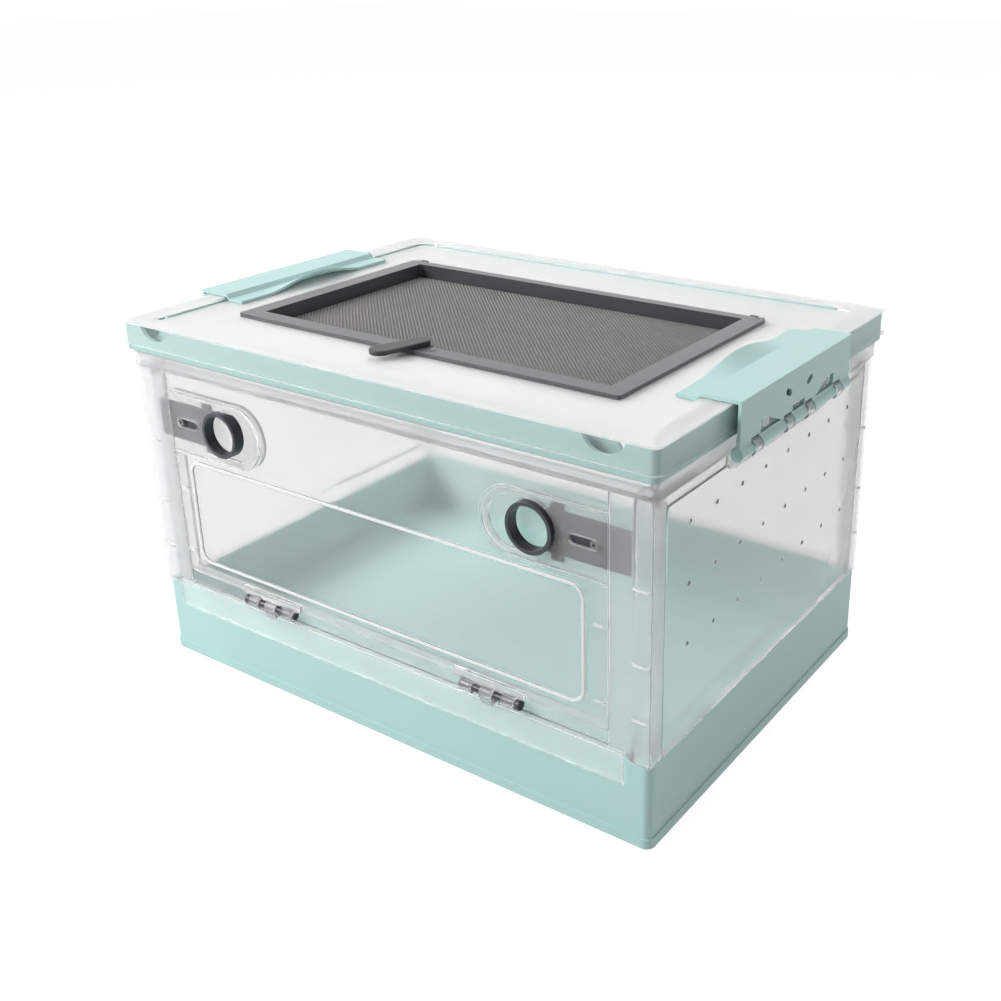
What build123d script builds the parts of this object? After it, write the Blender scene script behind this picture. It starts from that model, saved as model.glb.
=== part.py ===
"""Hamster house: a clear box on a mint tray, with a lift-off lid, a mesh window and a drop-down door.

Millimetres, +Z up, the door faces -Y. The origin is on the floor under the middle of the box.
"""
import os

from build123d import *

# Overall sizes
LID_LENGTH = 420.0
LID_WIDTH = 300.0
LID_TOP = 250.0
BASE_HEIGHT = 55.0
TOP_STACK = 32.0
LID_OVERHANG = 6.5
LID_OVERHANG_FRONT = 7.0

# Walls of the plastic mouldings
CLEAR_WALL = 2.2
MINT_WALL = 2.5
RUNNING_GAP = 0.5
SEAT_GAP = 0.3
PIN_PLAY = 0.08

# Outer faces of the box under the lid
BODY_X = LID_LENGTH / 2 - LID_OVERHANG
BODY_Y = LID_WIDTH / 2 - LID_OVERHANG_FRONT
BODY_RADIUS = 5.0

# Base tray
FLOOR_TOP = 7.0
FLOOR_THICKNESS = 3.0
FOOT_HEIGHT = 6.5
FOOT_PROUD = 0.8
FOOT_RING = 7.0
DIMPLE_RADIUS = 6.0
DIMPLE_DEPTH = 0.8
DIMPLE_INSET = 28.0

# Corner posts of the front and back walls
POST_WIDTH = 13.5
POST_DEPTH = 12.0
LEDGE_WIDTH = 14.0

# Clip of the front and back walls over the rim of the tray
STRIP_END = 16.5
STRIP_DROP = 15.0
SILL_RISE = 5.0
SILL_THICKNESS = 2.2
SKIRT_BOTTOM = 14.0
STRIP_THICKNESS = 2.1
STOP_LIP_LAP = 4.0
STOP_RIB_BELOW_BOLT = 25.0
STOP_RIB_REACH = 6.0

# Ridges moulded on the posts
RIDGE_RISES = (28.0, 63.0, 109.0)
RIDGE_THICKNESS = 1.2
RIDGE_PROUD = 0.6

# Side walls, which fold inwards about their top edge
FOLD_RADIUS = 4.5
FOLD_PIN_RADIUS = 2.0
FOLD_PIN_LENGTH = 3.9
FOLD_AXIS_DROP = 6.0
SIDE_BAND_HEIGHT = 12.0
SIDE_BAND_DEPTH = 7.5
SIDE_RIB_WIDTH = 4.0
SIDE_RIB_DEPTH = 6.0
VENT_RADIUS = 1.5
VENT_PITCH_Y = 30.0
VENT_PITCH_Z = 37.5
VENT_COLUMNS = 8
VENT_ROWS = 3
VENT_MIDDLE_DROP = 63.5

# Top rail
RAIL_PROUD = 2.0
RAIL_HEIGHT = 11.5
RAIL_FLANGE = 12.0
APRON_HALF_LENGTH = 68.0
APRON_DROP = 11.0
APRON_RADIUS = 8.0

# Mint collar on the rail
COLLAR_GAP = 0.5
COLLAR_FLANGE_THICKNESS = 2.5
NOTCH_INSET = 32.0
NOTCH_RADIUS = 14.5
NOTCH_DEPTH = 9.0
COLLAR_RIB_THICKNESS = 2.0
COLLAR_RIB_CUT = 16.0

# Lid
LID_WALL = 2.0
SKIRT_HEIGHT = 16.0
LID_RADIUS = 7.0
RIM_SIDE = 20.0
RIM_FRONT = 14.5
PANEL_DROP = 2.8
PANEL_RADIUS = 5.0

# Mesh window in the lid
WINDOW_MARGIN_SIDE = 71.0
WINDOW_MARGIN_FRONT = 66.5
WINDOW_MARGIN_BACK = 75.5
BORDER_SIDE = 13.0
BORDER_FRONT = 12.0
BORDER_BACK = 8.0
FRAME_WALL = 2.0
FRAME_DEPTH = 11.5
FRAME_CORNER = 1.0
MESH_LEDGE = 2.0
MESH_LEDGE_THICKNESS = 1.2
MESH_THICKNESS = 0.6
MESH_COLUMNS = 20
MESH_ROWS = 12
MESH_BAR = 1.2
MESH_MARGIN = 2.4
MESH_GAP = 0.2
WINDOW_GAP = 0.6

# Hinge stubs at the back corners of the window frame
STUB_RADIUS = 1.1
STUB_KNUCKLE_RADIUS = 1.5
STUB_SETBACK = 1.8
STUB_KNUCKLE_LENGTH = 5.0
STUB_INSET = 12.0
EAR_LENGTH = 4.0
EAR_WALL = 0.9
EAR_RELIEF = 1.3
STUB_Z_BELOW_TOP = 1.0

# Turn latch of the window
TURN_SHAFT_RADIUS = 2.4
TURN_HUB_RADIUS = 5.0
TURN_BOSS_RADIUS = 6.0
TURN_INSET = 1.0
PAD_THICKNESS = 3.0
PAD_LENGTH = 36.0
PAD_RADIUS = 7.5
PAD_TURN = -20.0
PAD_GAP = 0.4
TONGUE_THICKNESS = 2.0
TONGUE_LENGTH = 14.0
TONGUE_WIDTH = 7.0
TONGUE_GAP = 0.4
RIVET_RADIUS = 3.4
RIVET_THICKNESS = 1.0
MARK_OFFSET = 13.0
MARK_SIZE = 4.0
MARK_HEIGHT = 0.25

# Front door
DOOR_EDGE_GAP = 0.6
DOOR_RISE = 10.0
DOOR_TOP_GAP = 0.7
BEAD_INSET = 14.4
BEAD_RISE = 11.0
BEAD_BELOW_BOLT = 25.0
BEAD_RADIUS = 10.0
BEAD_WIDTH = 2.4
BEAD_PROUD = 0.8
DOOR_RIDGE_RISES = (17.0, 65.0)

# Hinge of the door
HINGE_X = 92.0
HINGE_Y_PROUD = 1.5
HINGE_RISE = 5.5
HINGE_RADIUS = 4.0
HINGE_PIN_RADIUS = 2.4
KNUCKLE_WIDTH = 9.0
KNUCKLE_PITCH = 16.0
PIN_HEAD_RADIUS = 3.4
PIN_HEAD_THICKNESS = 2.5
LEAF_HEIGHT = 5.0
LEAF_LENGTH = 54.0

# Slide bolts of the door
BOLT_INSET = 50.4
BOLT_DROP = 35.0
BOLT_TRAVEL = 13.5
RING_RADIUS = 15.8
RING_BORE_RADIUS = 13.2
RING_PROUD = 3.0
BOLT_HEIGHT = 26.4
BOLT_THICKNESS = 2.0
BOLT_ENGAGEMENT = 12.5
BOLT_PLAY = 0.45
PEG_RADIUS = 2.6
PEG_EDGE = 9.0
PEG_SLOT_GAP = 0.4
PEG_SUNK = 0.4
PEG_SHANK_RADIUS = 1.6
PEG_SOCKET_RADIUS = 1.1
PEG_SOCKET_DEPTH = 1.0
BARB_LENGTH = 8.0
BARB_HEIGHT = 4.0
HOUSING_RADIUS = 22.0
HOUSING_FLOOR = 1.4
HOUSING_RIB = 1.6
HOUSING_RIB_PROUD = 1.0

# Side latches
ROD_RADIUS = 3.0
BARREL_RADIUS = 4.0
ROD_X_OUT = 3.0
ROD_RISE = 3.0
LATCH_HALF_LENGTH = 73.5
LATCH_WALL = 2.0
LATCH_GAP = 2.9
FLANGE_GAP = 0.3
LATCH_STEP_GAP = 3.2
LIP_LENGTH = 12.5
LIP_THICKNESS = 1.8
LIFT_HALF_LENGTH = 45.0
LIFT_HEIGHT = 6.0
EAR_Y = (-55.0, -14.0, 14.0, 55.0)
EAR_WIDTH = 9.0
EAR_SIDE_GAP = 0.5
EAR_RADIUS = 5.2
EAR_MOUTH = 4.6
SCOOP_INNER = 23.0
SCOOP_OUTER = 49.0
SCOOP_HEIGHT = 8.0
SCOOP_CREST = 8.0
MIDDLE_SCOOP_HALF = 8.0
MIDDLE_SCOOP_HEIGHT = 4.0
OVAL_LENGTH = 8.0
OVAL_HEIGHT = 4.0
OVAL_RISE = 19.0
OVAL_TILT = 25.0

# Levels that follow from the sizes above
WALL_TOP = LID_TOP - TOP_STACK
SILL_HEIGHT = BASE_HEIGHT + SILL_RISE
FOLD_AXIS_Z = WALL_TOP - FOLD_AXIS_DROP
DOOR_BOTTOM = SILL_HEIGHT + DOOR_RISE
HINGE_Z = SILL_HEIGHT + HINGE_RISE
BOLT_Z = WALL_TOP - BOLT_DROP
BEAD_BOTTOM = DOOR_BOTTOM + BEAD_RISE
BEAD_TOP = BOLT_Z - BEAD_BELOW_BOLT
ROD_Z = WALL_TOP + ROD_RISE
OVAL_Z = ROD_Z + OVAL_RISE
RAIL_TOP = WALL_TOP + RAIL_HEIGHT
PANEL_TOP = LID_TOP - PANEL_DROP
PANEL_BOTTOM = PANEL_TOP - LID_WALL
RIM_UNDERSIDE = LID_TOP - LID_WALL
COLLAR_TOP = RIM_UNDERSIDE - SEAT_GAP
COLLAR_X = LID_LENGTH / 2 - LID_WALL - COLLAR_GAP
COLLAR_Y = LID_WIDTH / 2 - LID_WALL - COLLAR_GAP
NOTCH_X = COLLAR_X - NOTCH_INSET
PANEL_X = LID_LENGTH / 2 - RIM_SIDE
PANEL_Y = LID_WIDTH / 2 - RIM_FRONT
RAIL_X = BODY_X + RAIL_PROUD
RAIL_Y = BODY_Y + RAIL_PROUD + SEAT_GAP
POST_X = BODY_X - POST_WIDTH
LEDGE_X = POST_X - LEDGE_WIDTH
DOOR_X = LEDGE_X - DOOR_EDGE_GAP
BEAD_HALF_WIDTH = DOOR_X - BEAD_INSET
BOLT_X = DOOR_X - BOLT_INSET
STRIP_X = BODY_X - STRIP_END
SIDE_Y = BODY_Y - POST_DEPTH - SEAT_GAP
FOLD_X = BODY_X - FOLD_RADIUS
HINGE_Y = -BODY_Y - HINGE_Y_PROUD
BOLT_FRONT = -BODY_Y + CLEAR_WALL + BOLT_PLAY
BOLT_BACK = BOLT_FRONT + BOLT_THICKNESS
BOLT_TIP = DOOR_X + BOLT_ENGAGEMENT
ROD_X = LID_LENGTH / 2 + ROD_X_OUT
PLATE_X = LID_LENGTH / 2 + LATCH_GAP
WINDOW_FRONT = -LID_WIDTH / 2 + WINDOW_MARGIN_FRONT
WINDOW_BACK = LID_WIDTH / 2 - WINDOW_MARGIN_BACK
WINDOW_LENGTH = LID_LENGTH - 2 * WINDOW_MARGIN_SIDE
WINDOW_WIDTH = WINDOW_BACK - WINDOW_FRONT
WINDOW_Y = (WINDOW_FRONT + WINDOW_BACK) / 2
STUB_Y = WINDOW_BACK + BORDER_BACK + STUB_SETBACK
STUB_Z = LID_TOP - STUB_Z_BELOW_TOP
TURN_Y = WINDOW_FRONT + TURN_INSET


def slab(x0, x1, y0, y1, z0, z1, mode=Mode.ADD):
    """A box between two corners."""
    with Locations(((x0 + x1) / 2, (y0 + y1) / 2, (z0 + z1) / 2)):
        Box(abs(x1 - x0), abs(y1 - y0), abs(z1 - z0), mode=mode)


def plate(half_x, half_y, radius, z0, z1, mode=Mode.ADD, y=0.0):
    """A flat block with rounded upright corners, centred on the box."""
    with BuildSketch(Plane.XY.offset(z0)) as outline:
        with Locations((0, y)):
            RectangleRounded(2 * half_x, 2 * half_y, radius)
    extrude(outline.sketch, amount=z1 - z0, mode=mode)


def rod_x(x0, x1, y, z, radius, mode=Mode.ADD):
    """A round bar along X."""
    with BuildSketch(Plane.YZ.offset(min(x0, x1))) as section:
        with Locations((y, z)):
            Circle(radius)
    extrude(section.sketch, amount=abs(x1 - x0), mode=mode)


def rod_y(x, z, y0, y1, radius, mode=Mode.ADD):
    """A round bar along Y."""
    with BuildSketch(Plane.XZ.offset(-max(y0, y1))) as section:
        with Locations((x, z)):
            Circle(radius)
    extrude(section.sketch, amount=abs(y1 - y0), mode=mode)


def wall_clip(side):
    """The strip, sill and skirt that hook a long wall over the rim of the tray."""
    outer = side * (BODY_Y + SEAT_GAP)
    inner = side * (BODY_Y - MINT_WALL - SEAT_GAP)
    slab(-STRIP_X, STRIP_X, outer, outer + side * STRIP_THICKNESS,
         BASE_HEIGHT - STRIP_DROP, SILL_HEIGHT)
    slab(-STRIP_X, STRIP_X, inner - side * CLEAR_WALL, outer + side * STRIP_THICKNESS,
         SILL_HEIGHT - SILL_THICKNESS, SILL_HEIGHT)
    slab(-STRIP_X, STRIP_X, inner - side * CLEAR_WALL, inner, SKIRT_BOTTOM, SILL_HEIGHT)


def corner_posts(side):
    """The two hollow posts at the ends of a long wall, with the holes for the fold pins."""
    face = side * BODY_Y
    back = side * (BODY_Y - POST_DEPTH)
    foot = BASE_HEIGHT + SEAT_GAP
    for end in (-1, 1):
        slab(end * POST_X, end * BODY_X, face, back, foot, WALL_TOP)
        slab(end * (POST_X + CLEAR_WALL), end * (BODY_X - CLEAR_WALL),
             face - side * CLEAR_WALL, back + side * CLEAR_WALL, foot, WALL_TOP, Mode.SUBTRACT)
        for rise in RIDGE_RISES:
            slab(end * (POST_X + RIDGE_THICKNESS), end * (BODY_X - CLEAR_WALL),
                 face, face + side * RIDGE_PROUD, BASE_HEIGHT + rise, BASE_HEIGHT + rise + RIDGE_THICKNESS)
        rod_y(end * FOLD_X, FOLD_AXIS_Z, back - side, back + side * (CLEAR_WALL + 0.5),
              FOLD_PIN_RADIUS + PIN_PLAY, Mode.SUBTRACT)
        slab(end * STRIP_X, end * (POST_X + CLEAR_WALL), back, face,
             SILL_HEIGHT - SILL_THICKNESS, SILL_HEIGHT)


# Base tray
with BuildPart() as base_tray:
    plate(BODY_X, BODY_Y, BODY_RADIUS, 0, BASE_HEIGHT)
    plate(BODY_X + FOOT_PROUD, BODY_Y + FOOT_PROUD, BODY_RADIUS + FOOT_PROUD, 0, FOOT_HEIGHT)
    plate(BODY_X - MINT_WALL, BODY_Y - MINT_WALL, BODY_RADIUS - MINT_WALL, FLOOR_TOP, BASE_HEIGHT,
          Mode.SUBTRACT)
    plate(BODY_X - FOOT_RING, BODY_Y - FOOT_RING, BODY_RADIUS, 0, FLOOR_TOP - FLOOR_THICKNESS,
          Mode.SUBTRACT)
    with Locations((0, 0, FLOOR_TOP)):
        with GridLocations(2 * (BODY_X - DIMPLE_INSET), 2 * (BODY_Y - DIMPLE_INSET), 2, 2):
            Cylinder(DIMPLE_RADIUS, 2 * DIMPLE_DEPTH, mode=Mode.SUBTRACT)

# Front frame: posts, ledges that hold the bolts, and the sill with its hinge knuckles
with BuildPart() as front_frame:
    corner_posts(-1)
    wall_clip(-1)
    skirt_back = -BODY_Y + MINT_WALL + SEAT_GAP + CLEAR_WALL
    slab(-STRIP_X, STRIP_X, skirt_back - CLEAR_WALL, skirt_back, SILL_HEIGHT, DOOR_BOTTOM + STOP_LIP_LAP)
    for end in (-1, 1):
        slab(end * LEDGE_X, end * (POST_X + CLEAR_WALL), -BODY_Y, -BODY_Y + CLEAR_WALL,
             SILL_HEIGHT - SILL_THICKNESS, WALL_TOP)
        slab(end * (DOOR_X - STOP_RIB_REACH), end * (POST_X + CLEAR_WALL), skirt_back - CLEAR_WALL,
             skirt_back, SILL_HEIGHT, BOLT_Z - STOP_RIB_BELOW_BOLT)
        rod_x(end * (HINGE_X - KNUCKLE_WIDTH / 2), end * (HINGE_X + KNUCKLE_WIDTH / 2),
              HINGE_Y, HINGE_Z, HINGE_RADIUS)
        slab(end * (HINGE_X - KNUCKLE_WIDTH / 2), end * (HINGE_X + KNUCKLE_WIDTH / 2),
             HINGE_Y - HINGE_RADIUS + 1, HINGE_Y + HINGE_RADIUS, SILL_HEIGHT - 1, HINGE_Z)
        rod_x(end * (HINGE_X - KNUCKLE_WIDTH), end * (HINGE_X + KNUCKLE_WIDTH),
              HINGE_Y, HINGE_Z, HINGE_PIN_RADIUS + PIN_PLAY, Mode.SUBTRACT)

# Back wall: one clear panel with the same posts and clip
with BuildPart() as back_wall:
    corner_posts(1)
    wall_clip(1)
    slab(-POST_X - CLEAR_WALL, POST_X + CLEAR_WALL, BODY_Y - CLEAR_WALL, BODY_Y,
         SILL_HEIGHT - SILL_THICKNESS, WALL_TOP)


def side_wall(end):
    """One short wall; end is +1 on the right and -1 on the left."""
    with BuildPart() as wall:
        outer = end * BODY_X
        inner = end * (BODY_X - CLEAR_WALL)
        foot = BASE_HEIGHT + SEAT_GAP + 0.1
        slab(inner, outer, -SIDE_Y, SIDE_Y, foot, FOLD_AXIS_Z)
        slab(end * (BODY_X - SIDE_BAND_DEPTH), outer, -SIDE_Y, SIDE_Y, foot, foot + SIDE_BAND_HEIGHT)
        rod_y(end * FOLD_X, FOLD_AXIS_Z, -SIDE_Y, SIDE_Y, FOLD_RADIUS)
        for y_side in (-1, 1):
            slab(end * (BODY_X - SIDE_RIB_DEPTH), outer, y_side * (SIDE_Y - SIDE_RIB_WIDTH),
                 y_side * SIDE_Y, foot, FOLD_AXIS_Z)
            rod_y(end * FOLD_X, FOLD_AXIS_Z, y_side * (SIDE_Y - 1),
                  y_side * (SIDE_Y + FOLD_PIN_LENGTH), FOLD_PIN_RADIUS)
        with BuildSketch(Plane.YZ.offset(end * BODY_X - 10)):
            with Locations((0, WALL_TOP - VENT_MIDDLE_DROP)):
                with GridLocations(VENT_PITCH_Y, VENT_PITCH_Z, VENT_COLUMNS, VENT_ROWS):
                    Circle(VENT_RADIUS)
        extrude(amount=20, mode=Mode.SUBTRACT)
    return wall


left_side_wall = side_wall(-1)
right_side_wall = side_wall(1)

# Top rail: a channel all round, with aprons and ears for the side latches
with BuildPart() as top_rail:
    plate(RAIL_X, RAIL_Y, BODY_RADIUS, WALL_TOP, RAIL_TOP)
    plate(RAIL_X - RAIL_FLANGE, RAIL_Y - RAIL_FLANGE, 2, WALL_TOP, RAIL_TOP, Mode.SUBTRACT)
    plate(RAIL_X - CLEAR_WALL, RAIL_Y - CLEAR_WALL, BODY_RADIUS - CLEAR_WALL,
          WALL_TOP + CLEAR_WALL, RAIL_TOP - CLEAR_WALL, Mode.SUBTRACT)
    for end in (-1, 1):
        apron_in = BODY_X + SEAT_GAP
        with BuildSketch(Plane.YZ.offset(apron_in if end > 0 else -RAIL_X)):
            with Locations((0, WALL_TOP)):
                RectangleRounded(2 * APRON_HALF_LENGTH, 2 * APRON_DROP, APRON_RADIUS)
        extrude(amount=RAIL_X - apron_in)
        for y in EAR_Y:
            rod_y(end * ROD_X, ROD_Z, y - EAR_WIDTH / 2, y + EAR_WIDTH / 2, EAR_RADIUS)
            slab(end * (RAIL_X - CLEAR_WALL / 2), end * ROD_X, y - EAR_WIDTH / 2, y + EAR_WIDTH / 2,
                 ROD_Z - EAR_RADIUS, ROD_Z + EAR_RADIUS)
        rod_y(end * ROD_X, ROD_Z, -LATCH_HALF_LENGTH, LATCH_HALF_LENGTH, ROD_RADIUS + PIN_PLAY,
              Mode.SUBTRACT)
        slab(end * ROD_X - EAR_MOUTH / 2, end * ROD_X + EAR_MOUTH / 2, -LATCH_HALF_LENGTH,
             LATCH_HALF_LENGTH, ROD_Z - 2 * EAR_RADIUS, ROD_Z, Mode.SUBTRACT)

# Mint collar on the rail
with BuildPart() as top_collar:
    plate(COLLAR_X, COLLAR_Y, LID_RADIUS - LID_WALL, RAIL_TOP, COLLAR_TOP)
    plate(COLLAR_X - MINT_WALL, COLLAR_Y - MINT_WALL, 3, RAIL_TOP + COLLAR_FLANGE_THICKNESS, COLLAR_TOP,
          Mode.SUBTRACT)
    plate(RAIL_X - RAIL_FLANGE, RAIL_Y - RAIL_FLANGE, 2, RAIL_TOP, COLLAR_TOP, Mode.SUBTRACT)
    rib_x = PANEL_X + LID_WALL + RUNNING_GAP
    rib_y = PANEL_Y + LID_WALL + RUNNING_GAP
    for sign in (-1, 1):
        for along, across, half in ((Plane.YZ, rib_x, rib_y), (Plane.XZ, rib_y, rib_x)):
            with BuildSketch(along.offset(sign * across - (COLLAR_RIB_THICKNESS if sign < 0 else 0))):
                with BuildLine():
                    Polyline((-half + 4, RAIL_TOP + 1), (half - 4, RAIL_TOP + 1),
                             (half - COLLAR_RIB_CUT, COLLAR_TOP), (-half + COLLAR_RIB_CUT, COLLAR_TOP),
                             close=True)
                make_face()
            extrude(amount=COLLAR_RIB_THICKNESS)
        for side in (-1, 1):
            with BuildSketch(Plane.XZ.offset(-side * COLLAR_Y - 5)):
                with Locations((sign * NOTCH_X, COLLAR_TOP - NOTCH_DEPTH + NOTCH_RADIUS)):
                    Circle(NOTCH_RADIUS)
            extrude(amount=10, mode=Mode.SUBTRACT)

# Lid: rim, skirt and sunk panel with the window opening
with BuildPart() as lid:
    plate(LID_LENGTH / 2, LID_WIDTH / 2, LID_RADIUS, LID_TOP - SKIRT_HEIGHT, LID_TOP)
    plate(LID_LENGTH / 2 - LID_WALL, LID_WIDTH / 2 - LID_WALL, LID_RADIUS - LID_WALL,
          LID_TOP - SKIRT_HEIGHT, RIM_UNDERSIDE, Mode.SUBTRACT)
    plate(PANEL_X + LID_WALL, PANEL_Y + LID_WALL, PANEL_RADIUS + LID_WALL, PANEL_BOTTOM, LID_TOP)
    plate(PANEL_X, PANEL_Y, PANEL_RADIUS, PANEL_TOP, LID_TOP, Mode.SUBTRACT)
    plate(WINDOW_LENGTH / 2 + FRAME_WALL + WINDOW_GAP, WINDOW_WIDTH / 2 + FRAME_WALL + WINDOW_GAP, 2,
          PANEL_BOTTOM - 1, LID_TOP, Mode.SUBTRACT, y=WINDOW_Y)
    for end in (-1, 1):
        ear_0 = WINDOW_LENGTH / 2 + BORDER_SIDE - STUB_INSET + STUB_KNUCKLE_LENGTH + SEAT_GAP
        slab(end * ear_0, end * (ear_0 + EAR_LENGTH), STUB_Y - STUB_RADIUS - EAR_WALL / 2,
             STUB_Y + STUB_RADIUS + EAR_WALL, PANEL_TOP - 1, STUB_Z + STUB_RADIUS + EAR_WALL)
        rod_x(end * (ear_0 - 1), end * (ear_0 + EAR_LENGTH + 1), STUB_Y, STUB_Z, STUB_RADIUS + PIN_PLAY,
              Mode.SUBTRACT)

# Window frame with its hinge stubs and the boss of the turn latch
with BuildPart() as window_frame:
    frame_x = WINDOW_LENGTH / 2 + BORDER_SIDE
    frame_y0 = WINDOW_FRONT - BORDER_FRONT
    frame_y1 = WINDOW_BACK + BORDER_BACK
    plate(frame_x, (frame_y1 - frame_y0) / 2, 2, PANEL_TOP + SEAT_GAP, LID_TOP,
          y=(frame_y0 + frame_y1) / 2)
    plate(WINDOW_LENGTH / 2 + FRAME_WALL, WINDOW_WIDTH / 2 + FRAME_WALL, 2, LID_TOP - FRAME_DEPTH, LID_TOP,
          y=WINDOW_Y)
    plate(WINDOW_LENGTH / 2, WINDOW_WIDTH / 2, FRAME_CORNER, LID_TOP - FRAME_DEPTH + MESH_LEDGE_THICKNESS,
          LID_TOP, Mode.SUBTRACT, y=WINDOW_Y)
    plate(WINDOW_LENGTH / 2 - MESH_LEDGE, WINDOW_WIDTH / 2 - MESH_LEDGE, 1, LID_TOP - FRAME_DEPTH - 1,
          LID_TOP, Mode.SUBTRACT, y=WINDOW_Y)
    tongue_top = PANEL_BOTTOM - TONGUE_GAP
    tongue_bottom = tongue_top - TONGUE_THICKNESS
    slot_x = TONGUE_LENGTH + TONGUE_WIDTH / 2 + 1
    slab(-slot_x, slot_x, WINDOW_FRONT - FRAME_WALL - 1, WINDOW_FRONT + 1,
         tongue_bottom - TONGUE_GAP - RIVET_THICKNESS, PANEL_BOTTOM + 0.2, Mode.SUBTRACT)
    with BuildSketch(Plane.XY.offset(PANEL_BOTTOM + 0.2)):
        with Locations((0, TURN_Y)):
            Circle(TURN_BOSS_RADIUS)
    extrude(amount=LID_TOP - PANEL_BOTTOM - 0.2)
    slab(-TURN_BOSS_RADIUS, TURN_BOSS_RADIUS, WINDOW_FRONT - FRAME_WALL - TURN_BOSS_RADIUS,
         WINDOW_FRONT - FRAME_WALL, PANEL_BOTTOM, PANEL_TOP + SEAT_GAP, Mode.SUBTRACT)
    with BuildSketch(Plane.XY.offset(PANEL_BOTTOM - 1)):
        with Locations((0, TURN_Y)):
            Circle(TURN_SHAFT_RADIUS + PIN_PLAY)
    extrude(amount=10, mode=Mode.SUBTRACT)
    with BuildSketch(Plane.XY.offset(LID_TOP)):
        with Locations((MARK_OFFSET, TURN_Y - BORDER_FRONT / 2)):
            Triangle(a=MARK_SIZE, b=MARK_SIZE, c=MARK_SIZE, rotation=180)
    extrude(amount=MARK_HEIGHT)
    for end in (-1, 1):
        knuckle_0 = frame_x - STUB_INSET
        knuckle_1 = knuckle_0 + STUB_KNUCKLE_LENGTH
        slab(end * knuckle_1, end * (knuckle_1 + 2 * SEAT_GAP + EAR_LENGTH), frame_y1 - EAR_RELIEF,
             frame_y1, PANEL_TOP, LID_TOP, Mode.SUBTRACT)
        rod_x(end * knuckle_0, end * knuckle_1, STUB_Y, STUB_Z, STUB_KNUCKLE_RADIUS)
        slab(end * knuckle_0, end * knuckle_1, frame_y1 - 1, STUB_Y, STUB_Z - 1, STUB_Z + 1)
        rod_x(end * knuckle_1, end * (knuckle_1 + SEAT_GAP + EAR_LENGTH), STUB_Y, STUB_Z, STUB_RADIUS)

# Mesh sheet on the ledge inside the frame
with BuildPart() as window_mesh:
    mesh_z = LID_TOP - FRAME_DEPTH + MESH_LEDGE_THICKNESS
    mesh_length = WINDOW_LENGTH - 2 * MESH_GAP
    mesh_width = WINDOW_WIDTH - 2 * MESH_GAP
    pitch_x = (mesh_length - 2 * MESH_MARGIN) / MESH_COLUMNS
    pitch_y = (mesh_width - 2 * MESH_MARGIN) / MESH_ROWS
    with BuildSketch(Plane.XY.offset(mesh_z)):
        with Locations((0, WINDOW_Y)):
            RectangleRounded(mesh_length, mesh_width, FRAME_CORNER)
            with GridLocations(pitch_x, pitch_y, MESH_COLUMNS, MESH_ROWS):
                Rectangle(pitch_x - MESH_BAR, pitch_y - MESH_BAR, mode=Mode.SUBTRACT)
    extrude(amount=MESH_THICKNESS)

# Turn latch: pad and shaft
with BuildPart() as turn_latch:
    pad_z = LID_TOP + PAD_GAP
    with BuildSketch(Plane((0, TURN_Y, pad_z), x_dir=(1, 0, 0)).rotated((0, 0, PAD_TURN))):
        Circle(TURN_HUB_RADIUS)
        with BuildLine():
            Polyline((-TURN_HUB_RADIUS, 0), (TURN_HUB_RADIUS, 0),
                     (PAD_RADIUS, -PAD_LENGTH + PAD_RADIUS), (-PAD_RADIUS, -PAD_LENGTH + PAD_RADIUS),
                     close=True)
        make_face()
        with Locations((0, -PAD_LENGTH + PAD_RADIUS)):
            Circle(PAD_RADIUS)
    extrude(amount=PAD_THICKNESS)
    fillet(turn_latch.faces().sort_by(Axis.Z)[-1].edges(), 1.0)
    with BuildSketch(Plane.XY.offset(tongue_bottom - SEAT_GAP / 3)):
        with Locations((0, TURN_Y)):
            Circle(TURN_SHAFT_RADIUS)
    extrude(amount=pad_z - tongue_bottom + 1)
    with BuildSketch(Plane.XY.offset(tongue_bottom - SEAT_GAP / 3 - RIVET_THICKNESS)):
        with Locations((0, TURN_Y)):
            Circle(RIVET_RADIUS)
    extrude(amount=RIVET_THICKNESS)

# Tongue that the turn latch carries under the lid
with BuildPart() as latch_tongue:
    with BuildSketch(Plane.XY.offset(tongue_bottom)):
        with Locations((0, TURN_Y - TONGUE_LENGTH / 2)):
            SlotOverall(TONGUE_LENGTH + TONGUE_WIDTH, TONGUE_WIDTH, rotation=90)
        with Locations((0, TURN_Y)):
            Circle(TURN_SHAFT_RADIUS + PIN_PLAY / 2, mode=Mode.SUBTRACT)
    extrude(amount=TONGUE_THICKNESS)

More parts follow.
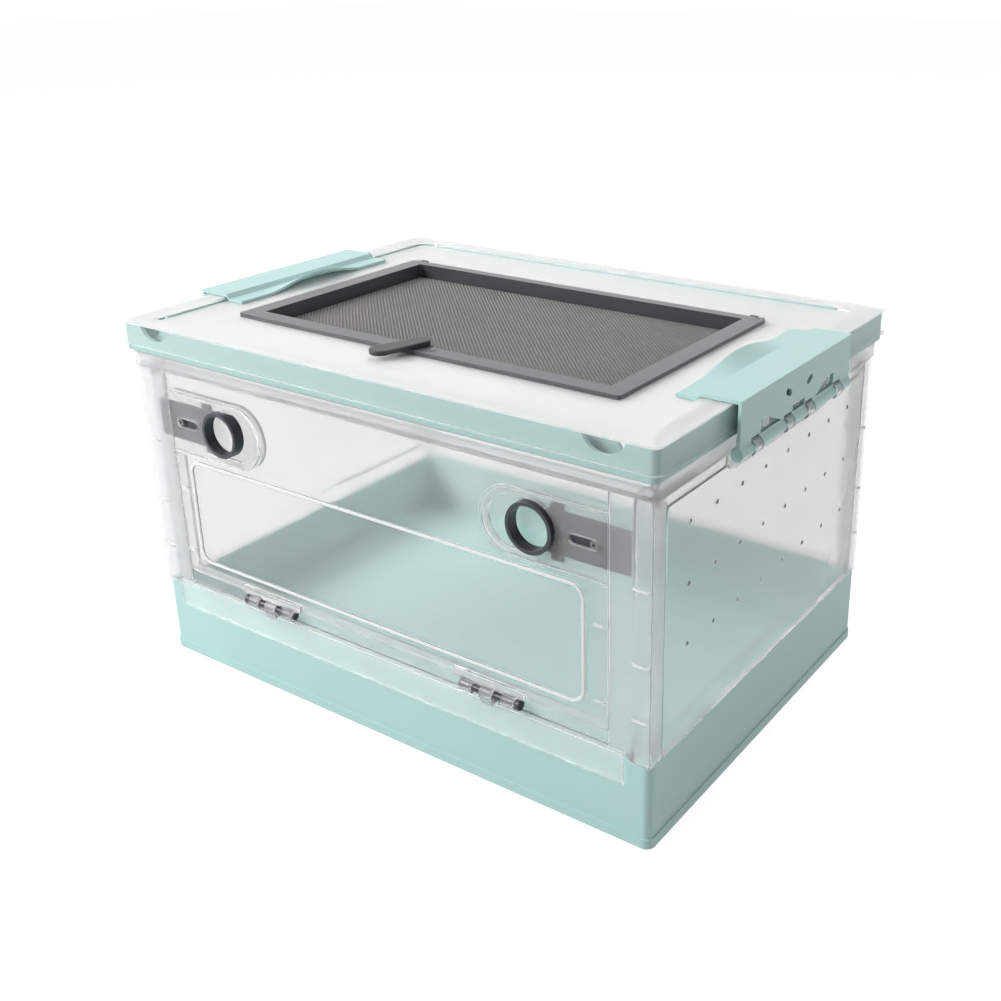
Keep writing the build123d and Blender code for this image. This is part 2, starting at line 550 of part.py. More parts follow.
# Front door
with BuildPart() as front_door:
    door_top = WALL_TOP - DOOR_TOP_GAP
    face = -BODY_Y
    slab(-DOOR_X, DOOR_X, face, face + CLEAR_WALL, DOOR_BOTTOM, door_top)
    with BuildSketch(Plane.XZ.offset(-face)):
        with Locations((0, (BEAD_BOTTOM + BEAD_TOP) / 2)):
            RectangleRounded(2 * BEAD_HALF_WIDTH, BEAD_TOP - BEAD_BOTTOM, BEAD_RADIUS)
            RectangleRounded(2 * (BEAD_HALF_WIDTH - BEAD_WIDTH), BEAD_TOP - BEAD_BOTTOM - 2 * BEAD_WIDTH,
                             BEAD_RADIUS - BEAD_WIDTH, mode=Mode.SUBTRACT)
    extrude(amount=BEAD_PROUD)
    inner_x = BOLT_X - BOLT_TRAVEL
    for end in (-1, 1):
        for rise in DOOR_RIDGE_RISES:
            slab(end * (DOOR_X - 9), end * (DOOR_X - 1), face, face - RIDGE_PROUD, DOOR_BOTTOM + rise,
                 DOOR_BOTTOM + rise + RIDGE_THICKNESS)
        # pocket behind the bolt, open at the edge of the door
        for radius, depth, reach, mode in (
                (HOUSING_RADIUS, BOLT_BACK + BOLT_PLAY + HOUSING_FLOOR, DOOR_X, Mode.ADD),
                (HOUSING_RADIUS - HOUSING_RIB, BOLT_BACK + BOLT_PLAY, DOOR_X + 1, Mode.SUBTRACT)):
            with BuildSketch(Plane.XZ.offset(-face - CLEAR_WALL)):
                with Locations((end * inner_x, BOLT_Z)):
                    Circle(radius)
                with Locations((end * (inner_x + reach) / 2, BOLT_Z)):
                    Rectangle(reach - inner_x, 2 * radius)
            extrude(amount=face + CLEAR_WALL - depth, mode=mode)
        # raised outline round the pocket
        with BuildSketch(Plane.XZ.offset(-face)):
            for radius, mode in ((HOUSING_RADIUS, Mode.ADD), (HOUSING_RADIUS - HOUSING_RIB, Mode.SUBTRACT)):
                with Locations((end * inner_x, BOLT_Z)):
                    Circle(radius, mode=mode)
                with Locations((end * (inner_x + DOOR_X) / 2, BOLT_Z)):
                    Rectangle(DOOR_X - inner_x, 2 * radius, mode=mode)
        extrude(amount=HOUSING_RIB_PROUD)
        # opening for the ring, and slot for the peg
        with BuildSketch(Plane.XZ.offset(-face + 5)):
            with Locations((end * (inner_x + BOLT_X) / 2, BOLT_Z)):
                SlotOverall(BOLT_TRAVEL + 2 * (RING_RADIUS + RUNNING_GAP), 2 * (RING_RADIUS + RUNNING_GAP))
            with Locations((end * (DOOR_X - PEG_EDGE - BOLT_TRAVEL / 2), BOLT_Z)):
                SlotOverall(BOLT_TRAVEL + 2 * (PEG_RADIUS + PEG_SLOT_GAP), 2 * (PEG_RADIUS + PEG_SLOT_GAP))
        extrude(amount=-5 - CLEAR_WALL, mode=Mode.SUBTRACT)
        # hinge leaf and knuckles
        slab(end * (HINGE_X - LEAF_LENGTH / 2), end * (HINGE_X + LEAF_LENGTH / 2), HINGE_Y - 1, face,
             DOOR_BOTTOM, DOOR_BOTTOM + LEAF_HEIGHT)
        for step in (-1, 1):
            x_mid = HINGE_X + step * KNUCKLE_PITCH
            rod_x(end * (x_mid - KNUCKLE_WIDTH / 2), end * (x_mid + KNUCKLE_WIDTH / 2),
                  HINGE_Y, HINGE_Z, HINGE_RADIUS)
            slab(end * (x_mid - KNUCKLE_WIDTH / 2), end * (x_mid + KNUCKLE_WIDTH / 2),
                 HINGE_Y - 1, HINGE_Y + 2.5, HINGE_Z, DOOR_BOTTOM + 1)
        rod_x(end * (HINGE_X - LEAF_LENGTH / 2), end * (HINGE_X + LEAF_LENGTH / 2), HINGE_Y, HINGE_Z,
              HINGE_PIN_RADIUS + PIN_PLAY, Mode.SUBTRACT)


def hinge_pin(end):
    """One black pin of the door hinge, with its head on the outer end."""
    with BuildPart() as pin:
        half = KNUCKLE_PITCH + KNUCKLE_WIDTH / 2 + 1
        rod_x(end * (HINGE_X - half), end * (HINGE_X + half), HINGE_Y, HINGE_Z, HINGE_PIN_RADIUS)
        rod_x(end * (HINGE_X + half), end * (HINGE_X + half + PIN_HEAD_THICKNESS), HINGE_Y, HINGE_Z,
              PIN_HEAD_RADIUS)
    return pin


def slide_bolt(end):
    """One black slide bolt: finger ring, plate and guide peg."""
    with BuildPart() as bolt:
        slab(end * BOLT_X, end * BOLT_TIP, BOLT_FRONT, BOLT_BACK, BOLT_Z - BOLT_HEIGHT / 2,
             BOLT_Z + BOLT_HEIGHT / 2)
        barb_x = BOLT_X + RING_RADIUS * 0.75
        slab(end * barb_x, end * (barb_x + BARB_LENGTH), BOLT_FRONT, BOLT_BACK,
             BOLT_Z - BOLT_HEIGHT / 2 - BARB_HEIGHT, BOLT_Z + BOLT_HEIGHT / 2 + BARB_HEIGHT)
        rod_y(end * BOLT_X, BOLT_Z, -BODY_Y - RING_PROUD, BOLT_BACK, RING_RADIUS)
        rod_y(end * BOLT_X, BOLT_Z, -BODY_Y - RING_PROUD, BOLT_BACK, RING_BORE_RADIUS, Mode.SUBTRACT)
        rod_y(end * (DOOR_X - PEG_EDGE), BOLT_Z, -BODY_Y, BOLT_BACK + 1, PEG_SHANK_RADIUS, Mode.SUBTRACT)
    return bolt


def guide_peg(end):
    """One headed peg, pressed into the bolt, that runs in the slot of the door."""
    with BuildPart() as peg:
        rod_y(end * (DOOR_X - PEG_EDGE), BOLT_Z, -BODY_Y + PEG_SUNK, BOLT_FRONT, PEG_RADIUS)
        rod_y(end * (DOOR_X - PEG_EDGE), BOLT_Z, BOLT_FRONT - 0.5, BOLT_BACK, PEG_SHANK_RADIUS)
        rod_y(end * (DOOR_X - PEG_EDGE), BOLT_Z, -BODY_Y, -BODY_Y + PEG_SUNK + PEG_SOCKET_DEPTH,
              PEG_SOCKET_RADIUS, Mode.SUBTRACT)
    return peg


def side_latch(end):
    """One mint latch: rod and barrels, upright plate, flange over the rim, lip with a finger lift."""
    with BuildPart() as latch:
        step_x = PANEL_X - LATCH_STEP_GAP
        flange_z = LID_TOP + FLANGE_GAP
        lip_z = PANEL_TOP + FLANGE_GAP
        plate_out = PLATE_X + LATCH_WALL
        slope = flange_z - lip_z
        with BuildSketch(Plane.XZ.offset(-LATCH_HALF_LENGTH)):
            with BuildLine():
                Polyline((end * PLATE_X, ROD_Z + EAR_RADIUS + 1), (end * plate_out, ROD_Z + EAR_RADIUS + 1),
                         (end * plate_out, flange_z + LATCH_WALL),
                         (end * (step_x + slope), flange_z + LATCH_WALL),
                         (end * step_x, lip_z + LIP_THICKNESS),
                         (end * (step_x - LIP_LENGTH), lip_z + LIP_THICKNESS),
                         (end * (step_x - LIP_LENGTH), lip_z), (end * step_x, lip_z),
                         (end * (step_x + slope), flange_z), (end * PLATE_X, flange_z), close=True)
            make_face()
        extrude(amount=2 * LATCH_HALF_LENGTH)
        # finger lift: the middle of the lip rises towards its edge
        slab(end * (step_x - LIP_LENGTH - 1), end * (step_x - 0.6), -LIFT_HALF_LENGTH, LIFT_HALF_LENGTH,
             lip_z - 1, lip_z + LIP_THICKNESS + 1, Mode.SUBTRACT)
        for half in (-1, 1):
            for index in range(5):
                share = index / 5
                y = half * LIFT_HALF_LENGTH * (1 - share)
                rise = LIFT_HEIGHT * (1 - (1 - share) ** 2) ** 1.5
                with BuildSketch(Plane.XZ.offset(-y)):
                    with BuildLine():
                        Polyline((end * (step_x + 0.2), lip_z), (end * (step_x + 0.2), lip_z + LIP_THICKNESS),
                                 (end * (step_x - LIP_LENGTH), lip_z + LIP_THICKNESS + rise),
                                 (end * (step_x - LIP_LENGTH), lip_z + rise), close=True)
                    make_face()
            with BuildSketch(Plane.XZ):
                with BuildLine():
                    Polyline((end * (step_x + 0.2), lip_z), (end * (step_x + 0.2), lip_z + LIP_THICKNESS),
                             (end * (step_x - LIP_LENGTH), lip_z + LIP_THICKNESS + LIFT_HEIGHT),
                             (end * (step_x - LIP_LENGTH), lip_z + LIFT_HEIGHT), close=True)
                make_face()
            loft(ruled=True)
        # barrels between the ears, joined to the plate
        edges = [-LATCH_HALF_LENGTH]
        for y in EAR_Y:
            edges += [y - EAR_WIDTH / 2 - EAR_SIDE_GAP, y + EAR_WIDTH / 2 + EAR_SIDE_GAP]
        edges.append(LATCH_HALF_LENGTH)
        for y0, y1 in zip(edges[::2], edges[1::2]):
            rod_y(end * ROD_X, ROD_Z, y0, y1, BARREL_RADIUS)
            slab(end * (ROD_X - 0.5), end * plate_out, y0, y1, ROD_Z, ROD_Z + EAR_RADIUS + 1.5)
        rod_y(end * ROD_X, ROD_Z, -LATCH_HALF_LENGTH, LATCH_HALF_LENGTH, ROD_RADIUS)
        # scoops and oval holes in the plate
        with BuildSketch(Plane.YZ.offset(end * ROD_X - 8)):
            for side in (-1, 1):
                with BuildLine():
                    Polyline((side * SCOOP_INNER, ROD_Z + EAR_RADIUS),
                             (side * SCOOP_OUTER, ROD_Z + EAR_RADIUS),
                             (side * SCOOP_OUTER, ROD_Z + EAR_RADIUS + SCOOP_HEIGHT),
                             (side * (SCOOP_OUTER - SCOOP_CREST), ROD_Z + EAR_RADIUS + SCOOP_HEIGHT),
                             close=True)
                make_face()
                with Locations((side * abs(EAR_Y[1]), OVAL_Z)):
                    SlotOverall(OVAL_LENGTH, OVAL_HEIGHT, rotation=side * OVAL_TILT)
            with Locations((0, ROD_Z + EAR_RADIUS + MIDDLE_SCOOP_HEIGHT / 2)):
                Rectangle(2 * MIDDLE_SCOOP_HALF, MIDDLE_SCOOP_HEIGHT)
        extrude(amount=16, mode=Mode.SUBTRACT)
    return latch


left_hinge_pin = hinge_pin(-1)
right_hinge_pin = hinge_pin(1)
left_slide_bolt = slide_bolt(-1)
right_slide_bolt = slide_bolt(1)
left_guide_peg = guide_peg(-1)
right_guide_peg = guide_peg(1)
left_side_latch = side_latch(-1)
right_side_latch = side_latch(1)

PARTS = {
    "base_tray": base_tray, "front_frame": front_frame, "back_wall": back_wall,
    "left_side_wall": left_side_wall, "right_side_wall": right_side_wall,
    "top_rail": top_rail, "top_collar": top_collar, "lid": lid,
    "window_frame": window_frame, "window_mesh": window_mesh,
    "turn_latch": turn_latch, "latch_tongue": latch_tongue, "front_door": front_door,
    "left_hinge_pin": left_hinge_pin, "right_hinge_pin": right_hinge_pin,
    "left_slide_bolt": left_slide_bolt, "right_slide_bolt": right_slide_bolt,
    "left_guide_peg": left_guide_peg, "right_guide_peg": right_guide_peg,
    "left_side_latch": left_side_latch, "right_side_latch": right_side_latch,
}

os.makedirs("parts", exist_ok=True)
for name, piece in PARTS.items():
    piece.part.label = name
    export_step(piece.part, f"parts/{name}.step")
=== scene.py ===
# %% [markdown]
# # A hamster house of clear plastic and mint plastic
#
# The house is a clear box on a mint tray. Its lid lifts off, a mesh window is hinged in the lid,
# and the front door drops down on two black pins. The moulded parts come ready made from the frame,
# in metres. This lesson gives each of them the finish of the real plastic, and weaves the wire
# cloth that is too fine for the frame.

# %% Load the fixed frame
import math

import bmesh
import bpy
import numpy as np
from mathutils import Matrix, Vector


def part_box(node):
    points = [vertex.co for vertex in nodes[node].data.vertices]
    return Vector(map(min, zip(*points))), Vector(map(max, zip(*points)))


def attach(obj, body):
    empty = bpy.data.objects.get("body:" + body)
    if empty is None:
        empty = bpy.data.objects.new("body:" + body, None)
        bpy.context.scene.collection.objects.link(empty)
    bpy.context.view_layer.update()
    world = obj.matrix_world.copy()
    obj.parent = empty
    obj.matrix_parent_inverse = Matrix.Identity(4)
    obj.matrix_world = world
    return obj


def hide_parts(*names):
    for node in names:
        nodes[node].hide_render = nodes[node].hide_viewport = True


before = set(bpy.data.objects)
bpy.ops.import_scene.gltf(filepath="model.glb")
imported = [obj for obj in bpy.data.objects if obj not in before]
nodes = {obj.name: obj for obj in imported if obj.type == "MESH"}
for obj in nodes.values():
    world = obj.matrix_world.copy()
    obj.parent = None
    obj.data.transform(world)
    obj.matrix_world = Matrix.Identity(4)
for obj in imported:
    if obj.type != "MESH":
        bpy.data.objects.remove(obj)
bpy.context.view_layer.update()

# %% [markdown]
# ## Moulded grain
#
# Injection moulding leaves a very fine, soft unevenness on every face, and faint flow marks that
# run across it. It could be painted as an image, but a noise worked out from the place in the
# object stays sharp at any distance and needs no picture. More than one plastic uses it, so it is a
# node group with two scales, and it gives out a height and a mask that changes slowly over the
# surface.

# %% The node group for moulded grain
GRAIN_SCALE = 900.0
FLOW_SCALE = 14.0


def new_group(name, inputs, outputs):
    """An empty shader group with named sockets: each input is (name, kind, value)."""
    group = bpy.data.node_groups.new(name, "ShaderNodeTree")
    for label, kind, value in inputs:
        socket = group.interface.new_socket(label, in_out="INPUT", socket_type=kind)
        socket.default_value = value
    for label, kind in outputs:
        group.interface.new_socket(label, in_out="OUTPUT", socket_type=kind)
    return group, group.nodes.new("NodeGroupInput"), group.nodes.new("NodeGroupOutput")


def noise(tree, vector, scale, detail, rough):
    """A noise texture read at a place; its scale is a socket, in waves per metre."""
    node = tree.nodes.new("ShaderNodeTexNoise")
    node.inputs["Detail"].default_value = detail
    node.inputs["Roughness"].default_value = rough
    tree.links.new(vector, node.inputs["Vector"])
    tree.links.new(scale, node.inputs["Scale"])
    return node.outputs["Fac"]


def maths(tree, operation, a, b=None):
    """A Math node; a and b are sockets or plain numbers."""
    node = tree.nodes.new("ShaderNodeMath")
    node.operation = operation
    for socket, value in zip(node.inputs, (a, b)):
        if value is None:
            continue
        if isinstance(value, (int, float)):
            socket.default_value = value
        else:
            tree.links.new(value, socket)
    return node.outputs[0]


def make_grain_group():
    """Height of the moulded grain, and a slow mask for flow marks."""
    group, given, out = new_group(
        "moulded grain",
        [("Grain scale", "NodeSocketFloat", GRAIN_SCALE),
         ("Flow scale", "NodeSocketFloat", FLOW_SCALE)],
        [("Height", "NodeSocketFloat"), ("Flow", "NodeSocketFloat")])
    place = group.nodes.new("ShaderNodeTexCoord").outputs["Object"]
    fine = noise(group, place, given.outputs["Grain scale"], detail=2.0, rough=0.5)
    slow = noise(group, place, given.outputs["Flow scale"], detail=4.0, rough=0.6)
    group.links.new(fine, out.inputs["Height"])
    group.links.new(slow, out.inputs["Flow"])
    return group


grain_group = make_grain_group()
print("group:", grain_group.name)

# %% [markdown]
# ## Material helpers
#
# Every finish here is one Principled shader with the grain group in front of it. The helper makes
# the material, places the group, bends the roughness a little with the slow mask, and turns the
# fine height into a bump. The plain numbers stay on the shader's own sockets.

# %% A material with moulded grain
GRAIN_HEIGHT = 0.0002
SMOOTHEST = 0.02
FLOW_LOW, FLOW_HIGH = 0.30, 0.70


def plastic(name, colour, roughness, spread, bump, grain=GRAIN_SCALE, tint=0.06):
    """A moulded plastic; spread is how far its roughness wanders, and tint how far its colour does."""
    material = bpy.data.materials.new(name)
    material.use_nodes = True
    tree = material.node_tree
    shader = tree.nodes["Principled BSDF"]
    group = tree.nodes.new("ShaderNodeGroup")
    group.node_tree = grain_group
    group.inputs["Grain scale"].default_value = grain
    wander = tree.nodes.new("ShaderNodeMapRange")
    wander.inputs["To Min"].default_value = max(roughness - spread, SMOOTHEST)
    wander.inputs["To Max"].default_value = roughness + spread
    tree.links.new(group.outputs["Flow"], wander.inputs["Value"])
    tree.links.new(wander.outputs["Result"], shader.inputs["Roughness"])
    ramp = tree.nodes.new("ShaderNodeValToRGB")
    dark, light = ramp.color_ramp.elements
    dark.position, light.position = FLOW_LOW, FLOW_HIGH
    dark.color = [c * (1 - tint) for c in colour] + [1]
    light.color = [min(c * (1 + tint), 1) for c in colour] + [1]
    tree.links.new(group.outputs["Flow"], ramp.inputs["Fac"])
    tree.links.new(ramp.outputs["Color"], shader.inputs["Base Color"])
    lift = tree.nodes.new("ShaderNodeBump")
    lift.inputs["Strength"].default_value = bump
    lift.inputs["Distance"].default_value = GRAIN_HEIGHT
    tree.links.new(group.outputs["Height"], lift.inputs["Height"])
    tree.links.new(lift.outputs["Normal"], shader.inputs["Normal"])
    return material, tree, shader


# %% [markdown]
# ## Mint plastic
#
# The tray, the collar and the side latches are one pale mint plastic with a satin face. The collar
# is the same plastic as the tray, but it is seen through the lid's skirt, which adds white, and it
# sits in the skirt's shade, so it gets a darker and greyer copy of the plastic: painted shade. Light
# goes a very little way into mint plastic, so a little subsurface is added.

# %% The mint finish
def mint_plastic(name, colour):
    """Satin mint plastic that lets light a very little way in."""
    material, _, shader = plastic(name, colour, 0.36, 0.06, 0.06, tint=0.015)
    shader.inputs["Specular IOR Level"].default_value = 0.25
    shader.inputs["Coat Weight"].default_value = 0.1
    shader.inputs["Coat Roughness"].default_value = 0.3
    shader.inputs["Subsurface Weight"].default_value = 0.12
    shader.inputs["Subsurface Radius"].default_value = (0.002, 0.003, 0.003)
    return material


mint = mint_plastic("mint plastic", (0.475, 0.70, 0.682))
# The collar's darker, greyer copy of the mint is painted shade, not a different plastic.
collar_mint_painted_shade = mint_plastic("mint plastic collar with painted shade", (0.40, 0.575, 0.56))
print("mint finishes:", mint.name, "and", collar_mint_painted_shade.name)

# %% [markdown]
# ## Clear plastic
#
# The walls, the door and the lid are clear with a milky haze, as soft moulded plastic is. Real
# glass shading is used for the clear share, because it bends what lies behind a rib. The rest could
# be left matt, but a matt wall is dark when its light comes from behind, so it scatters the light
# through its own depth instead. The glass bends light only a little here, which keeps the edges
# pale. A plain glass would also throw a black shadow into the box, so Light Path lowers the alpha
# for the rays that only ask for shade.

# %% The clear finish
CLEAR_GRAIN = 350.0
CLEAR_BEND = 1.2
SCATTER_DEPTH = 0.004


def clear_plastic(name, colour, roughness, clearness, shade, milky=1.0):
    """Clearness is the share that lets light through, shade what its shadow keeps.

    Milky is how much of the rest scatters in the depth of the plastic.
    """
    material, tree, shader = plastic(
        name, colour, roughness, 0.03, 0.006, grain=CLEAR_GRAIN, tint=0.008)
    shader.inputs["IOR"].default_value = CLEAR_BEND
    shader.inputs["Transmission Weight"].default_value = clearness
    shader.inputs["Subsurface Weight"].default_value = milky
    shader.inputs["Subsurface Radius"].default_value = (1, 1, 1)
    shader.inputs["Subsurface Scale"].default_value = SCATTER_DEPTH
    path = tree.nodes.new("ShaderNodeLightPath")
    fade = maths(tree, "MULTIPLY", path.outputs["Is Shadow Ray"], 1 - shade)
    seen = maths(tree, "SUBTRACT", 1.0, fade)
    tree.links.new(seen, shader.inputs["Alpha"])
    return material, tree, shader, seen


clear_skin = clear_plastic("clear plastic skin", (0.85, 0.855, 0.85), 0.09, 0.88, 0.10)[0]
clear_thick = clear_plastic("clear plastic frame", (0.87, 0.88, 0.88), 0.12, 0.82, 0.14)[0]
# The edge plastic is paler and less clear than the walls: a painted highlight for the light that
# rounded edges and thick ribs gather.
clear_edge_painted_highlight = clear_plastic("clear plastic edge with painted highlight", (0.93, 0.94, 0.935), 0.30, 0.25, 0.30, milky=0.0)[0]
print("clear finishes:", clear_skin.name, clear_thick.name, clear_edge_painted_highlight.name, sep=", ")

# %% [markdown]
# ## The milky lid
#
# The lid's flat top hides what is under it, but its skirt and the step round its sunk middle let
# the mint collar show through. The plastic is the same, and only the depth of plastic that the eye
# crosses differs. The faces that stand upright are made thinner to the eye: the height of each
# face's own normal is the mask, and it lowers the alpha there.

# %% The lid's finish
clear_lid, lid_tree, lid_shader, lid_seen = clear_plastic(
    "clear plastic lid", (0.84, 0.845, 0.84), 0.22, 0.45, 0.09)
face_way = lid_tree.nodes.new("ShaderNodeSeparateXYZ")
lid_tree.links.new(lid_tree.nodes.new("ShaderNodeTexCoord").outputs["Normal"], face_way.inputs[0])
lid_flat = maths(lid_tree, "ABSOLUTE", face_way.outputs["Z"])
lid_mask = lid_tree.nodes.new("ShaderNodeMapRange")
for label, value in (("From Min", 0.30), ("From Max", 0.85), ("To Min", 0.10), ("To Max", 0.97)):
    lid_mask.inputs[label].default_value = value
lid_tree.links.new(lid_flat, lid_mask.inputs["Value"])
lid_alpha = maths(lid_tree, "MULTIPLY", lid_seen, lid_mask.outputs["Result"])
lid_tree.links.new(lid_alpha, lid_shader.inputs["Alpha"])
print("lid finish:", clear_lid.name)

# %% [markdown]
# ## Dark plastics, pegs and wire
#
# The bolts and hinge pins are black and glossy, and the latch of the window is charcoal. The frame
# of the window is dark grey with a soft coat, which makes its top face pale where it mirrors the
# room. The wire cloth is dull metal. Each could have a shader of its own, but they differ only in
# colour and gloss, so the same helper makes them all.

# %% The dark finishes
black = plastic("black plastic", (0.016, 0.021, 0.029), 0.30, 0.05, 0.02)[0]
charcoal = plastic("charcoal plastic", (0.030, 0.031, 0.034), 0.34, 0.05, 0.10)[0]
window_grey, _, grey_shader = plastic(
    "window grey plastic", (0.050, 0.053, 0.059), 0.32, 0.05, 0.08)
grey_shader.inputs["Coat Weight"].default_value = 0.6
grey_shader.inputs["Coat Roughness"].default_value = 0.35
peg_grey = plastic("peg plastic", (0.19, 0.19, 0.19), 0.4, 0.05, 0.1)[0]
wire, _, wire_shader = plastic("dull wire", (0.205, 0.20, 0.195), 0.45, 0.08, 0.12, tint=0.1)
wire_shader.inputs["Metallic"].default_value = 0.3

# The top collar takes the mint copy that carries painted shade.
FINISHES = {
    "base_tray": mint, "top_collar": collar_mint_painted_shade,
    "left_side_latch": mint, "right_side_latch": mint,
    "front_frame": clear_thick, "top_rail": clear_thick,
    "back_wall": clear_skin, "front_door": clear_skin,
    "left_side_wall": clear_skin, "right_side_wall": clear_skin,
    "lid": clear_lid,
    "window_frame": window_grey, "window_mesh": wire,
    "turn_latch": charcoal, "latch_tongue": charcoal,
    "left_hinge_pin": black, "right_hinge_pin": black,
    "left_slide_bolt": black, "right_slide_bolt": black,
    "left_guide_peg": peg_grey, "right_guide_peg": peg_grey,
}
for node_name, finish in FINISHES.items():
    piece = nodes[node_name]
    piece.data.materials.clear()
    piece.data.materials.append(finish)
print("finished", len(FINISHES), "moulded parts")

# %% [markdown]
# ## Soft edges
#
# No moulded edge is razor sharp, and on clear plastic the rounded edge gathers light and shows as a
# white line. The frame's corners are sharp, so each part gets a weld, which joins the corners that
# the file splits, a small bevel, and weighted normals, which keep its flat faces flat. The clear
# parts carry another clear plastic in their second slot, and the bevel puts it on the edges alone.
# It is the pale one, whose white is a painted highlight for the light that the edge gathers, except
# on the lid, whose edges hardly show.

# %% Rounded edges on the frame's parts
EDGE_WIDTH = {
    "base_tray": 0.0008, "lid": 0.0007, "top_collar": 0.0005,
    "left_side_latch": 0.0005, "right_side_latch": 0.0005,
    "front_door": 0.0006, "front_frame": 0.0006, "top_rail": 0.0005,
    "left_side_wall": 0.0007, "right_side_wall": 0.0007, "back_wall": 0.0006,
}
EDGE_FINISH = {
    "front_frame": clear_edge_painted_highlight, "back_wall": clear_edge_painted_highlight, "top_rail": clear_edge_painted_highlight,
    "left_side_wall": clear_edge_painted_highlight, "right_side_wall": clear_edge_painted_highlight,
    "front_door": clear_edge_painted_highlight, "lid": clear_thick,
}
OTHER_EDGE = 0.0004
SHARPEST_KEPT = math.radians(40)


def soften(piece, width, edge_slot):
    """A weld, a bevel and weighted normals; edge_slot is the slot that the bevel's faces take."""
    weld = piece.modifiers.new("weld", "WELD")
    weld.merge_threshold = 1e-6
    bevel = piece.modifiers.new("soft edge", "BEVEL")
    bevel.width = width
    bevel.segments = 2
    bevel.limit_method = "ANGLE"
    bevel.angle_limit = SHARPEST_KEPT
    bevel.use_clamp_overlap = True
    bevel.material = edge_slot
    normals = piece.modifiers.new("flat faces", "WEIGHTED_NORMAL")
    normals.mode = "FACE_AREA"
    normals.weight = 100


for node_name in FINISHES:
    if node_name != "window_mesh":
        piece = nodes[node_name]
        edge_slot = -1
        if node_name in EDGE_FINISH:
            piece.data.materials.append(EDGE_FINISH[node_name])
            edge_slot = 1
        soften(piece, EDGE_WIDTH.get(node_name, OTHER_EDGE), edge_slot)
print("softened the edges of", len(FINISHES) - 1, "parts")

# %% [markdown]
# ## Wire cloth
#
# The window's mesh is a fine plain weave. A flat sheet with a pattern of holes would look right
# from afar, but a real weave has wires that pass over and under each other and catch the light, so
# each wire is a thin four-sided tube along a wave, made straight into one mesh.

# %% Weave the wires
WIRE_PITCH = 0.0016
WIRE_RADIUS = 0.00031
WIRE_SWING = 0.00024
CLOTH_MARGIN = 0.001


def wires_along(length, breadth, flip):
    """Points and faces of parallel wavy wires, along x if flip is false and along y if it is true."""
    count = int(breadth / WIRE_PITCH)
    steps = int(length / WIRE_PITCH) * 2
    ring = ((WIRE_RADIUS, 0), (0, WIRE_RADIUS), (-WIRE_RADIUS, 0), (0, -WIRE_RADIUS))
    verts, faces = [], []
    along = np.linspace(-length / 2, length / 2, steps + 1)
    for k in range(count):
        side = (k + 0.5) * WIRE_PITCH - count * WIRE_PITCH / 2
        phase = math.pi * k + (math.pi if flip else 0)
        height = WIRE_SWING * np.cos(np.pi * (along + length / 2) / WIRE_PITCH + phase)
        start = len(verts)
        for a, h in zip(along, height):
            for across, up in ring:
                spot = (side + across, a) if flip else (a, side + across)
                verts.append((spot[0], spot[1], h + up))
        for s in range(steps):
            for c in range(4):
                i, j = start + 4 * s + c, start + 4 * s + (c + 1) % 4
                face = (i, j, j + 4, i + 4)
                faces.append(face[::-1] if flip else face)
        first = tuple(start + c for c in range(4))
        last = tuple(start + 4 * steps + c for c in range(4))
        faces += [first, last[::-1]] if flip else [first[::-1], last]
    return verts, faces


mesh_low, mesh_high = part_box("window_mesh")
mesh_size = mesh_high - mesh_low
mesh_middle = (mesh_low + mesh_high) / 2
cloth_verts, cloth_faces = [], []
for flip, length, breadth in ((False, mesh_size.x, mesh_size.y), (True, mesh_size.y, mesh_size.x)):
    verts, faces = wires_along(length - CLOTH_MARGIN, breadth - CLOTH_MARGIN, flip)
    start = len(cloth_verts)
    cloth_verts += verts
    cloth_faces += [tuple(i + start for i in face) for face in faces]
cloth_mesh = bpy.data.meshes.new("wire_cloth")
cloth_mesh.from_pydata(cloth_verts, [], cloth_faces)
cloth_mesh.transform(Matrix.Translation(mesh_middle))
cloth_mesh.materials.append(wire)
wire_cloth = bpy.data.objects.new("wire_cloth", cloth_mesh)
bpy.context.scene.collection.objects.link(wire_cloth)
for face in cloth_mesh.polygons:
    face.use_smooth = True
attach(wire_cloth, "window")
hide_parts("window_mesh")
print("wire cloth:", len(cloth_mesh.polygons), "faces")

# %% [markdown]
# ## Beads and ridges that gather light
#
# A raised bead frames the lower part of the door, and short ridges stiffen the door's edges and the
# posts. Each is a thick line of the same plastic, and thick plastic gathers the light and looks
# white. The frame has them as square ribs. A half-round strip of the paler plastic is laid on each,
# built section by section along its line, and its white is a painted highlight.

# %% Half-round strips
ARC_STEPS = 6
CORNER_STEPS = 8
TIP_SIZE = 0.35
TIP_SHARE = 0.12


